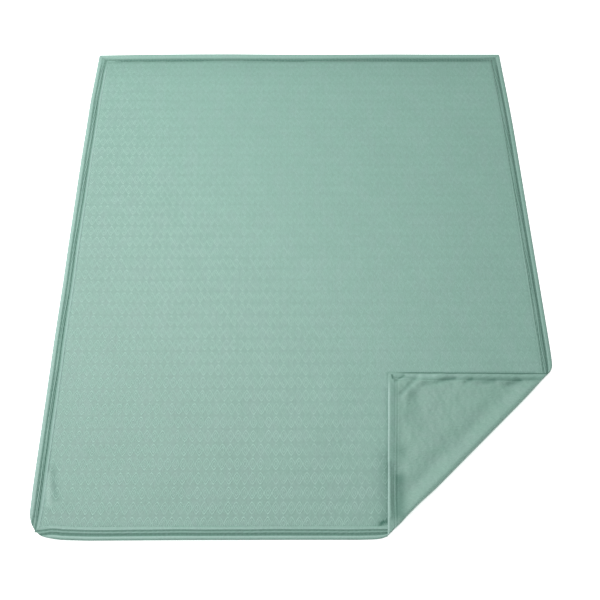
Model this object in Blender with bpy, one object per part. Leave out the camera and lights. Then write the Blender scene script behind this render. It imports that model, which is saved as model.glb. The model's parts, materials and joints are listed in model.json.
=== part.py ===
"""A far-infrared knit blanket, lying flat on its back with one corner turned over onto its face.

Three plies make the blanket: a face cloth, an inner layer and a back cloth. A folded binding strip wraps each of
its four edges and is mitred at the corners. Two rows of needle thread lie in channels of each strip's face leg,
and the bobbin thread of the inner row lies in a channel of the back leg.

The corner at the foot and right is a body of its own. It turns about the fold line, which is a hinge just above
the face, and it lies folded over here. Every piece is made flat first, and what crosses the fold line is then
split in two, so that the two halves meet again when the corner is opened.

Metres, +Z up. +X is the blanket's right and +Y its head end. The origin is under the middle of the blanket.
"""

import math

import bmesh
import bpy
from mathutils import Matrix, Vector

# Overall sizes
WIDTH = 1.800
LENGTH = 2.200

# The fold line, by where it leaves the right edge and the foot edge, from the corner between them
FOLD_ALONG_RIGHT = 0.619
FOLD_ALONG_FOOT = 0.641

# Thicknesses of the plies and of the binding's cloth
FACE_PLY = 0.0008
INNER_PLY = 0.0020
BACK_PLY = 0.0008
BINDING_PLY = 0.0012

# Widths of the binding's two legs, from the outer edge
FACE_LEG = 0.040
BACK_LEG = 0.034

# Radius of the outer edge at each corner
FOOT_LEFT_RADIUS = 0.107
SQUARE_CORNER_RADIUS = 0.008

# Stitching: the rows' distances from the outer edge, and the thread as it lies in its channel
OUTER_ROW = 0.015
INNER_ROW = 0.031
THREAD_WIDTH = 0.0008
THREAD_HEIGHT = 0.0004
THREAD_RECESS = 0.0001

# The back sinks to the floor inside the binding's back leg, over this width
SINK_SLOPE = 0.010

# Clearance between neighbouring pieces
GAP = 0.0003

# Facets in half a rounded corner
CORNER_FACETS = 6

# How far a cutter runs past what it cuts
MARGIN = 0.010

# Levels, from the floor up
BACK_LOW = BINDING_PLY + GAP
BACK_HIGH = BACK_LOW + BACK_PLY
INNER_LOW = BACK_HIGH + GAP
INNER_HIGH = INNER_LOW + INNER_PLY
FACE_LOW = INNER_HIGH + GAP
FACE_HIGH = FACE_LOW + FACE_PLY
LEG_LOW = FACE_HIGH + GAP
TOP = LEG_LOW + BINDING_PLY

# The hinge runs above the face by half a gap, so that the folded corner clears the blanket by one
HINGE_HEIGHT = TOP + GAP / 2
FOLDED = math.pi

CHANNEL_WIDTH = THREAD_WIDTH + 2 * GAP
CHANNEL_DEPTH = THREAD_RECESS + THREAD_HEIGHT + GAP

# The four corners, counterclockwise from foot-left. Side i runs from corner i to corner i + 1.
CORNERS = (
    (Vector((-WIDTH / 2, -LENGTH / 2)), FOOT_LEFT_RADIUS),
    (Vector((WIDTH / 2, -LENGTH / 2)), SQUARE_CORNER_RADIUS),
    (Vector((WIDTH / 2, LENGTH / 2)), SQUARE_CORNER_RADIUS),
    (Vector((-WIDTH / 2, LENGTH / 2)), SQUARE_CORNER_RADIUS),
)
SIDES = ("foot", "right", "head", "left")
FOLDED_SIDES = ("foot", "right")

# The fold line's two ends
FOLD_AT_RIGHT = CORNERS[1][0] + Vector((0, FOLD_ALONG_RIGHT))
FOLD_AT_FOOT = CORNERS[1][0] - Vector((FOLD_ALONG_FOOT, 0))


def material(name, colour, roughness):
    """A plain cloth material of this linear colour."""
    made = bpy.data.materials.new(name)
    made.use_nodes = True
    shader = made.node_tree.nodes["Principled BSDF"]
    shader.inputs["Base Color"].default_value = (*colour, 1)
    shader.inputs["Roughness"].default_value = roughness
    shader.inputs["Metallic"].default_value = 0
    return made


def side_axes(side):
    """A side's unit vectors: along it, counterclockwise, and inward from it."""
    along = Matrix.Rotation(math.pi / 2 * side, 2) @ Vector((1, 0))
    return along, Vector((-along.y, along.x))


def corner_point(corner, inset):
    """The point inset from both edges at a corner."""
    along, inward = side_axes(corner)
    return CORNERS[corner][0] + (along + inward) * inset


def corner_arc(corner, inset, start, end):
    """Points along the rounded corner of the contour at an inset, between two angles that run from 0 to pi/2.

    A contour further in than the corner's radius has a sharp corner, which is one point.
    """
    radius = CORNERS[corner][1]
    if inset >= radius:
        return [corner_point(corner, inset)]
    centre = corner_point(corner, radius)
    base = math.pi / 2 * (corner + 2)
    points = []
    for step in range(CORNER_FACETS + 1):
        angle = base + start + (end - start) * step / CORNER_FACETS
        points.append(centre + Vector((math.cos(angle), math.sin(angle))) * (radius - inset))
    return points


def contour(inset):
    """The blanket's outline at an inset, counterclockwise."""
    return [point for corner in range(4) for point in corner_arc(corner, inset, 0, math.pi / 2)]


def rectangle(inset):
    """The rectangle at an inset, whose corners are sharp."""
    return [corner_point(corner, inset) for corner in range(4)]


def new_object(name, shape, finish=None):
    """An object made from a bmesh, which is freed."""
    bmesh.ops.recalc_face_normals(shape, faces=shape.faces)
    mesh = bpy.data.meshes.new(name)
    shape.to_mesh(mesh)
    shape.free()
    made = bpy.data.objects.new(name, mesh)
    bpy.context.collection.objects.link(made)
    if finish:
        mesh.materials.append(finish)
    return made


def stacked(name, rings, finish=None):
    """A closed solid through plan outlines of equal counts, each at its own height."""
    shape = bmesh.new()
    loops = [[shape.verts.new((*point, height)) for point in outline] for outline, height in rings]
    for low, high in zip(loops, loops[1:]):
        for first in range(len(low)):
            second = (first + 1) % len(low)
            shape.faces.new((low[first], low[second], high[second], high[first]))
    shape.faces.new(loops[0])
    shape.faces.new(loops[-1])
    return new_object(name, shape, finish)


def plate(name, outline, low, high, finish=None):
    """A flat piece of one thickness."""
    return stacked(name, ((outline, low), (outline, high)), finish)


def row_channel(name, inset, low, high):
    """The cutter of one row's channel: a rectangular frame that runs round all four sides."""
    shape = bmesh.new()
    sections = []
    for corner in range(4):
        outer = corner_point(corner, inset - CHANNEL_WIDTH / 2)
        inner = corner_point(corner, inset + CHANNEL_WIDTH / 2)
        plan = ((outer, low), (inner, low), (inner, high), (outer, high))
        sections.append([shape.verts.new((*point, height)) for point, height in plan])
    for corner in range(4):
        here, there = sections[corner], sections[(corner + 1) % 4]
        for first in range(4):
            second = (first + 1) % 4
            shape.faces.new((here[first], here[second], there[second], there[first]))
    return new_object(name, shape)


def shaped(piece, *cuts):
    """Applies Booleans to a piece: each cut is an operation and the object that it works with."""
    for operation, other in cuts:
        change = piece.modifiers.new(operation.lower(), "BOOLEAN")
        change.operation = operation
        change.solver = "EXACT"
        change.object = other
    bpy.context.view_layer.update()
    result = bpy.data.meshes.new_from_object(piece.evaluated_get(bpy.context.evaluated_depsgraph_get()))
    piece.modifiers.clear()
    piece.data = result
    result.name = piece.name
    return piece


def half_plane(name, sign):
    """A cutter that covers the plan on one side of the fold line, from half a gap short of the line.

    Sign is +1 for the corner's side of the line and -1 for the blanket's.
    """
    along = (FOLD_AT_FOOT - FOLD_AT_RIGHT).normalized()
    outward = Vector((-along.y, along.x))
    reach = WIDTH + LENGTH
    start = (FOLD_AT_RIGHT + FOLD_AT_FOOT) / 2 - outward * sign * GAP / 2
    ends = (start - along * reach, start + along * reach)
    outline = (*ends, ends[1] + outward * sign * reach, ends[0] + outward * sign * reach)
    return plate(name, outline, -MARGIN, TOP + MARGIN)


def fold_frame():
    """The hinge's frame with the corner opened flat: its X axis runs along the fold line."""
    middle = (FOLD_AT_RIGHT + FOLD_AT_FOOT) / 2
    along = FOLD_AT_FOOT - FOLD_AT_RIGHT
    turn = Matrix.Rotation(math.atan2(along.y, along.x), 4, "Z")
    return Matrix.Translation((*middle, HINGE_HEIGHT)) @ turn


def fold_split(whole, corner_side, blanket_side, hinge):
    """Splits a flat piece at the fold line. The corner's half becomes a child of the hinge, which folds it over."""
    half = whole.copy()
    half.data = whole.data.copy()
    half.name = "corner_" + whole.name
    bpy.context.collection.objects.link(half)
    shaped(whole, ("DIFFERENCE", corner_side))
    shaped(half, ("DIFFERENCE", blanket_side))
    half.data.transform(fold_frame().inverted())
    half.parent = hinge


def row_end(inset, radius):
    """How far from its corner a row ends: clear of the mitre, and of the outer edge where the corner is round."""
    clear_of_mitre = inset + THREAD_WIDTH / 2 + 2 * GAP
    outer_side = inset - THREAD_WIDTH / 2 - GAP
    if outer_side >= radius:
        return clear_of_mitre
    return max(clear_of_mitre, radius - math.sqrt(radius**2 - (radius - outer_side) ** 2))


def thread_row(name, side, inset, low, finish):
    """One row of thread along a side."""
    along, inward = side_axes(side)
    start, first_radius = CORNERS[side]
    end, last_radius = CORNERS[(side + 1) % 4]
    near, far = inward * (inset - THREAD_WIDTH / 2), inward * (inset + THREAD_WIDTH / 2)
    first = start + along * row_end(inset, first_radius)
    last = end - along * row_end(inset, last_radius)
    return plate(name, (first + near, last + near, last + far, first + far), low, low + THREAD_HEIGHT, finish)


def binding_outline(side):
    """The plan of one side's binding: its outer edge, rounded at the corners, and its mitred ends."""
    following = (side + 1) % 4
    along, _ = side_axes(side)
    mitre = along * GAP / math.sqrt(2)
    turned = [math.asin(GAP / 2 / CORNERS[corner][1]) for corner in (side, following)]
    outer = corner_arc(side, 0, math.pi / 4 + turned[0], math.pi / 2)
    outer += corner_arc(following, 0, 0, math.pi / 4 - turned[1])
    inner = [corner_point(following, FACE_LEG) - mitre, corner_point(side, FACE_LEG) + mitre]
    return outer + inner


def make_plies(finishes):
    """The face cloth, the inner layer and the back cloth, whole."""
    edge = contour(BINDING_PLY + GAP)
    border = rectangle(BACK_LEG + GAP)
    field = rectangle(BACK_LEG + GAP + SINK_SLOPE)
    drop = BACK_LOW

    def sunk(name, underside, inside):
        """A tray from the floor level of a ply's underside up to the border, where it runs on into the ply."""
        return stacked(name, ((field, underside - drop), (border, underside), (border, inside)))

    face = plate("face_cloth", edge, FACE_LOW, FACE_HIGH, finishes["face"])

    inner = plate("inner_layer", edge, INNER_LOW, INNER_HIGH, finishes["inner"])
    inner_tray = sunk("inner_tray", INNER_LOW, (INNER_LOW + INNER_HIGH) / 2)
    shaped(inner, ("UNION", inner_tray))

    back = plate("back_cloth", edge, BACK_LOW, BACK_HIGH, finishes["back"])
    back_tray = sunk("back_tray", BACK_LOW, (BACK_LOW + BACK_HIGH) / 2)
    back_recess = sunk("back_recess", BACK_HIGH, BACK_HIGH + MARGIN)
    shaped(back, ("UNION", back_tray), ("DIFFERENCE", back_recess))

    return [face, inner, back], [inner_tray, back_tray, back_recess]


def make_bindings(finishes):
    """The four binding strips, each with the space for the plies and the stitching's channels."""
    mouth = plate("binding_mouth", contour(BINDING_PLY), BINDING_PLY, LEG_LOW)
    below_back = plate("back_leg_end", rectangle(BACK_LEG), -MARGIN, (BINDING_PLY + LEG_LOW) / 2)
    cutters = [
        mouth,
        below_back,
        row_channel("outer_channel", OUTER_ROW, TOP - CHANNEL_DEPTH, TOP + MARGIN),
        row_channel("inner_channel", INNER_ROW, TOP - CHANNEL_DEPTH, TOP + MARGIN),
        row_channel("back_channel", INNER_ROW, -MARGIN, CHANNEL_DEPTH),
    ]
    strips = []
    for side, word in enumerate(SIDES):
        strip = plate("binding_" + word, binding_outline(side), 0, TOP, finishes["binding"])
        strips.append(shaped(strip, *(("DIFFERENCE", cutter) for cutter in cutters)))
    return strips, cutters


def make_stitching(finishes):
    """The needle thread's two rows on the face and the bobbin thread's row on the back, along each side."""
    on_face = TOP - THREAD_RECESS - THREAD_HEIGHT
    rows = []
    for side, word in enumerate(SIDES):
        rows.append(thread_row("needle_outer_" + word, side, OUTER_ROW, on_face, finishes["thread"]))
        rows.append(thread_row("needle_inner_" + word, side, INNER_ROW, on_face, finishes["thread"]))
        rows.append(thread_row("bobbin_inner_" + word, side, INNER_ROW, THREAD_RECESS, finishes["thread"]))
    return rows


def make_hinge():
    """The empty on the fold line that holds the corner, turned over."""
    hinge = bpy.data.objects.new("corner_fold", None)
    bpy.context.collection.objects.link(hinge)
    hinge.matrix_world = fold_frame() @ Matrix.Rotation(FOLDED, 4, "X")
    return hinge


def main():
    for old in list(bpy.data.objects):
        bpy.data.objects.remove(old)
    finishes = {
        "face": material("face_knit", (0.33, 0.50, 0.43), 0.85),
        "inner": material("inner_wadding", (0.62, 0.66, 0.62), 0.95),
        "back": material("back_knit", (0.27, 0.42, 0.36), 0.80),
        "binding": material("binding_knit", (0.36, 0.54, 0.47), 0.80),
        "thread": material("thread", (0.22, 0.38, 0.31), 0.60),
    }
    plies, ply_cutters = make_plies(finishes)
    strips, strip_cutters = make_bindings(finishes)
    rows = make_stitching(finishes)
    hinge = make_hinge()
    corner_side = half_plane("corner_side", 1)
    blanket_side = half_plane("blanket_side", -1)
    for piece in plies + strips + rows:
        if piece in plies or piece.name.endswith(FOLDED_SIDES):
            fold_split(piece, corner_side, blanket_side, hinge)
    for cutter in (*ply_cutters, *strip_cutters, corner_side, blanket_side):
        bpy.data.objects.remove(cutter)


if __name__ == "__main__":
    main()
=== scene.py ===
"""The looks of a far-infrared knit blanket, laid out flat with its foot-right corner turned over.

Every cloth is first a surface of the blanket as it was sewn, flat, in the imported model's own frame. What lies
beyond the fold line is then turned over by Fold, which also gathers it a little, as limp cloth does. The
sheets, the binding strips and the stitches all read their heights from the same Hem and Ground, so they meet.

Metres, +Z up, +X the blanket's right and +Y its head end.
"""

import json
import logging
import math
from dataclasses import dataclass, field
from enum import Enum
from typing import Any, Callable, Sequence

import bmesh
import bpy
import numpy as np
from mathutils import Matrix, Quaternion, Vector


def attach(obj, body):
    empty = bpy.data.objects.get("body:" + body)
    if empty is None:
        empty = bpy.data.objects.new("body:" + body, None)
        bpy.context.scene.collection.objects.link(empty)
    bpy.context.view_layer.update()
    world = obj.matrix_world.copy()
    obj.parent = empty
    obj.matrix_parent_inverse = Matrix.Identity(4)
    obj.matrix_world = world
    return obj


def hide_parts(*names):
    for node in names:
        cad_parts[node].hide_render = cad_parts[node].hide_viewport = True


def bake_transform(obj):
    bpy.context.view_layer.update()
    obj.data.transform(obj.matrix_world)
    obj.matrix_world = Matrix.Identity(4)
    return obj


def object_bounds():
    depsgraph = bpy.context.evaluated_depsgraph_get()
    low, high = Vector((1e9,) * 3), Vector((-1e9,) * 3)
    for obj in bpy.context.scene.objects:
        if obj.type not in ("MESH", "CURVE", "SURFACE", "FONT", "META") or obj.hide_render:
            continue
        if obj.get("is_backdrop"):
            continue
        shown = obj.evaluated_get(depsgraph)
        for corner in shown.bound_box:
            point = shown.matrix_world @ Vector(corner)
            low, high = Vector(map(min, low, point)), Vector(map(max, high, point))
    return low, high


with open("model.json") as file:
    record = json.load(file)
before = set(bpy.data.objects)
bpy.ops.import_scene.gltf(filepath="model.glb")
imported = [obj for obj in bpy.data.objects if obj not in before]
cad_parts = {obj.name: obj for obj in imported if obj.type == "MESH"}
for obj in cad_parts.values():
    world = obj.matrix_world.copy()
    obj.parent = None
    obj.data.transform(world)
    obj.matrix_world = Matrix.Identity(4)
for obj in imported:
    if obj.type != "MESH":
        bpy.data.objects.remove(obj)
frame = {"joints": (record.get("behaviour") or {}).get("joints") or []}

logging.basicConfig(level=logging.INFO, format="%(message)s")
LOG = logging.getLogger("blanket")

Array = np.ndarray
Colour = tuple[float, float, float]
Surface = Callable[[Array, Array], Array]


# Numbers as smooth functions


def smoothstep(low: float, high: float, value: Array) -> Array:
    """A smooth rise from 0 at low to 1 at high; low may be above high."""
    share = np.clip((value - low) / (high - low), 0.0, 1.0)
    return share * share * (3.0 - 2.0 * share)


def bump(centre: float | Array, width: float, value: Array) -> Array:
    """A Gaussian hump of height 1."""
    return np.exp(-0.5 * ((value - centre) / width) ** 2)


def ripples(x: Array, y: Array, longest: float, seed: int, waves: int = 9) -> Array:
    """A smooth random field: plane waves in all directions, each shorter and lower than the last.

    Args:
        x: Plan position across.
        y: Plan position along.
        longest: The longest wavelength.
        seed: Which field.
        waves: How many waves.

    Returns:
        The field, between about -1 and 1.
    """
    rng = np.random.default_rng(seed)
    total = np.zeros(np.broadcast(x, y).shape)
    weight, shorter, lower = 0.0, 0.86, 0.9
    for index in range(waves):
        heading, phase = rng.uniform(0.0, 2.0 * math.pi, 2)
        wavelength = longest * shorter**index
        share = lower**index
        across = x * math.cos(heading) + y * math.sin(heading)
        total += share * np.sin(2.0 * math.pi * across / wavelength + phase)
        weight += share * share
    return total / math.sqrt(2.0 * weight)


@dataclass(frozen=True)
class Curve:
    """A smooth curve through a table: straight between its places, then blurred.

    Attributes:
        places: Where it is known.
        values: What it is there.
        blur: Standard deviation of the blur.
    """

    places: tuple[float, ...]
    values: tuple[float, ...]
    blur: float = 0.0009

    def at(self, place: Array) -> Array:
        """Reads the curve.

        Args:
            place: Where.

        Returns:
            Values.
        """
        margin, steps, reach = 4.0 * self.blur, 4.0, 12
        fine = np.arange(self.places[0] - margin, self.places[-1] + margin, self.blur / steps)
        kernel = bump(0.0, steps, np.arange(-reach, reach + 1.0))
        padded = np.interp(np.pad(fine, reach, mode="edge"), self.places, self.values)
        return np.interp(place, fine, np.convolve(padded, kernel / kernel.sum(), mode="valid"))


# The blanket, flat


class Side(Enum):
    """The four hemmed sides: inward direction, and direction along, counterclockwise seen from above."""

    FOOT = ("foot", (0.0, 1.0), (1.0, 0.0))
    RIGHT = ("right", (-1.0, 0.0), (0.0, 1.0))
    HEAD = ("head", (0.0, -1.0), (-1.0, 0.0))
    LEFT = ("left", (1.0, 0.0), (0.0, -1.0))

    def __init__(self, word: str, inward: tuple[float, float], along: tuple[float, float]) -> None:
        """Keeps the side's word and its two directions, as arrays."""
        self.word = word
        self.inward = np.array(inward)
        self.along = np.array(along)

    @property
    def following(self) -> "Side":
        """The next side, counterclockwise."""
        order = list(Side)
        return order[(order.index(self) + 1) % len(order)]

    @property
    def preceding(self) -> "Side":
        """The side before, counterclockwise."""
        order = list(Side)
        return order[order.index(self) - 1]


# The sides that the fold line crosses.
CROSSING = (Side.RIGHT, Side.FOOT)

# How far each side has crept inward, along its run.
CREEP = {
    Side.FOOT: Curve(
        (0.0, 0.05, 0.068, 0.084, 0.10, 0.12, 0.20, 0.50, 0.90, 1.08, 1.12, 1.20, 1.80),
        (0.0, 0.0005, 0.0035, 0.0055, 0.0045, 0.0022, -0.0008, -0.0002, -0.0012, -0.0022, -0.0014, 0.0, 0.0),
        0.006,
    ),
    Side.RIGHT: Curve(
        (0.0, 0.80, 1.20, 1.60, 1.78, 1.919, 2.098, 2.2),
        (0.0, 0.0, -0.0004, -0.0012, -0.0012, 0.0006, 0.0052, 0.007),
        0.03,
    ),
    Side.HEAD: Curve(
        (0.0, 0.314, 0.493, 0.672, 0.85, 1.028, 1.207, 1.385, 1.562, 1.739, 1.8),
        (0.004, 0.004, 0.003, 0.0045, 0.0053, 0.0044, 0.0025, 0.0034, 0.0054, 0.0096, 0.011),
        0.03,
    ),
    Side.LEFT: Curve(
        (0.0, 0.103, 0.281, 0.452, 0.615, 1.07, 1.2, 1.46, 1.70, 1.93, 2.03, 2.10, 2.145, 2.17, 2.2),
        (
            0.0115, 0.0082, 0.0022, 0.0012, -0.0006, -0.0001, 0.001, 0.0003, 0.0018, 0.0024, 0.003, 0.0052,
            0.003, 0.001, 0.0,
        ),
        0.012,
    ),
}


@dataclass
class Plan:
    """The blanket's flat outline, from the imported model's box.

    Attributes:
        half: Half its width and half its length.
        round_corner: The radius at the corner between the left and foot sides.
        square_corner: The radius at the others.
        creep_reach: How far in from a side its creep is felt.
    """

    half: Array = field(default_factory=lambda: np.array(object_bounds()[1])[:2])
    round_corner: float = 0.107
    square_corner: float = 0.008
    creep_reach: float = 0.30

    def side_length(self, side: Side) -> float:
        """A side's length between the corners of the square outline."""
        return float(2.0 * np.abs(side.along) @ self.half)

    def start(self, side: Side) -> Array:
        """The square outline's corner that a side starts from."""
        return -(side.inward + side.along) * self.half

    def radius(self, side: Side) -> float:
        """The radius of the corner that a side starts from."""
        return self.round_corner if side is Side.FOOT else self.square_corner

    def inset(self, side: Side, x: Array, y: Array) -> Array:
        """How far plan points lie inside a side's straight edge."""
        start = self.start(side)
        return (x - start[0]) * side.inward[0] + (y - start[1]) * side.inward[1]

    def run(self, side: Side, x: Array, y: Array) -> Array:
        """How far along a side plan points lie."""
        start = self.start(side)
        return (x - start[0]) * side.along[0] + (y - start[1]) * side.along[1]

    def crept(self, points: Array) -> Array:
        """Flat positions, with the sides crept inward as they lie.

        Args:
            points: Positions, one a row.

        Returns:
            Positions.
        """
        x, y = points[:, 0], points[:, 1]
        moved = points.copy()
        for side, creep in CREEP.items():
            fade = smoothstep(self.creep_reach, 0.0, self.inset(side, x, y))
            moved[:, :2] += (creep.at(self.run(side, x, y)) * fade)[:, None] * side.inward
        return moved

    def outline_inset(self, side: Side, run: Array) -> Array:
        """How far the rounded outline lies inside a side's straight edge.

        Args:
            side: The side.
            run: Distances along the side.

        Returns:
            The insets, which are above 0 only at the rounded corners.
        """
        inset = np.zeros_like(run)
        ends = ((run, self.radius(side)), (self.side_length(side) - run, self.radius(side.following)))
        for distance, radius in ends:
            short = np.clip(radius - distance, 0.0, radius)
            inset = np.maximum(inset, radius - np.sqrt(radius**2 - short**2))
        return inset


@dataclass(frozen=True)
class Section:
    """A hem's section on one side of the blanket, from its edge inward.

    Attributes:
        height: Height of the upper surface.
        shade: Above 0 painted shade in its drawn-in rows; below 0 its pale plump flange with a painted
            highlight.
        spread: How much further in its rows lie, along the side.
        back_shade: The same as shade, on the under side.
        puckers: Strength of the puckers between the rows.
        lean: How far a pucker runs along while it crosses one unit of the band.
    """

    height: Curve
    shade: Curve
    spread: Curve
    back_shade: Curve
    puckers: float
    lean: float


# Painted light on the hem's under side, where its rows lie open and where they are drawn in:
# a painted highlight along the rolled rim and on the row, painted shade beside the row, and a
# painted shadow along the drawn-in rim, with painted shade in its puckers.
PLAIN_BACK_PAINTED_LIGHT = Curve(
    (0.0, 0.0035, 0.0060, 0.0085, 0.012, 0.024, 0.0265, 0.0285, 0.0318, 0.0338, 0.036, 0.040),
    (-0.9, -0.9, -0.5, 0.22, 0.16, 0.12, 0.50, -1.0, -1.0, 0.60, 0.15, 0.10),
    0.0006,
)
DRAWN_BACK_PAINTED_LIGHT = Curve(
    (0.0, 0.0045, 0.0075, 0.010, 0.018, 0.024, 0.030, 0.036, 0.040),
    (1.0, 1.0, 0.1, -0.05, 0.05, 0.25, 0.3, 0.25, 0.15),
    0.0008,
)
# Distances in from the edge at which each side's section is given.
LEFT_PLACES = (
    0, 0.003, 0.008, 0.0135, 0.016, 0.018, 0.0205, 0.0235, 0.027, 0.0300, 0.0330, 0.036, 0.0380, 0.0415,
    0.0455,
)
RIGHT_PLACES = (
    0, 0.003, 0.008, 0.012, 0.015, 0.0175, 0.0200, 0.0235, 0.027, 0.031, 0.035, 0.0385, 0.042, 0.0455
)
HEAD_PLACES = (0, 0.004, 0.010, 0.018, 0.022, 0.026, 0.030, 0.035, 0.040, 0.0455)
FOOT_PLACES = (
    0, 0.003, 0.006, 0.0095, 0.0125, 0.0145, 0.0180, 0.0215, 0.0240, 0.0270, 0.0305, 0.0330, 0.0355, 0.039,
    0.0455,
)
# Each side's shade curve paints shade into its grooves and rows, and a painted highlight on its paler flange.
SECTIONS = {
    Side.LEFT: Section(
        Curve(
            LEFT_PLACES,
            (
                0.0076, 0.008, 0.0078, 0.007, 0.0044, 0.0034, 0.0064, 0.0071, 0.0062, 0.0034, 0.0052, 0.0054,
                0.0062, 0.0092, 0.0072,
            ),
        ),
        Curve(
            LEFT_PLACES,
            (-0.8, -0.75, -0.6, -0.3, 0.5, 1.0, 0.15, 0.0, 0.35, 1.0, 0.30, 0.05, -0.7, -1.0, -0.8),
            0.0006,
        ),
        Curve((0.0, 0.40, 0.70, 1.0, 2.2), (1.04, 1.10, 1.10, 1.0, 1.0), 0.08),
        PLAIN_BACK_PAINTED_LIGHT,
        puckers=1.0,
        lean=3.4,
    ),
    Side.RIGHT: Section(
        Curve(
            RIGHT_PLACES,
            (
                0.0076, 0.008, 0.0078, 0.0073, 0.0071, 0.0048, 0.0040, 0.0056, 0.0068, 0.0070, 0.006, 0.0044,
                0.006, 0.0062,
            ),
        ),
        Curve(
            RIGHT_PLACES,
            (0.45, 0.35, 0.15, 0.0, -0.4, 0.7, 1.0, 0.85, 0.5, 0.25, 0.3, 0.75, 0.35, 0.10),
            0.0006,
        ),
        Curve((0.0, 1.2, 1.6, 2.2), (0.94, 0.94, 1.01, 1.01), 0.08),
        DRAWN_BACK_PAINTED_LIGHT,
        puckers=1.0,
        lean=-3.4,
    ),
    Side.HEAD: Section(
        Curve(
            HEAD_PLACES, (0.0076, 0.008, 0.0078, 0.0074, 0.0068, 0.0050, 0.0058, 0.0056, 0.0040, 0.0056)
        ),
        Curve(HEAD_PLACES, (0.1, -0.15, -0.25, -0.2, 0.1, 0.6, 0.75, 0.85, 1.0, 0.85)),
        Curve((0.0, 0.6, 1.0, 1.8), (0.92, 0.94, 1.08, 1.10), 0.08),
        PLAIN_BACK_PAINTED_LIGHT,
        puckers=0.35,
        lean=-2.0,
    ),
    Side.FOOT: Section(
        Curve(
            FOOT_PLACES,
            (
                0.0068, 0.0078, 0.008, 0.0082, 0.0073, 0.0048, 0.0040, 0.0048, 0.0064, 0.0062, 0.0040, 0.0058,
                0.0072, 0.0062, 0.0059,
            ),
        ),
        Curve(
            FOOT_PLACES,
            (0.2, 0.05, -0.2, -0.8, -0.1, 0.75, 0.8, 0.7, 0.15, 0.10, 0.9, 0.2, -0.6, -0.1, 0.0),
            0.0006,
        ),
        Curve((0.0, 1.1, 1.3, 1.42, 1.70, 1.8), (1.0, 1.0, 0.86, 0.90, 1.0, 1.0), 0.04),
        PLAIN_BACK_PAINTED_LIGHT,
        puckers=0.3,
        lean=2.0,
    ),
}


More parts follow.
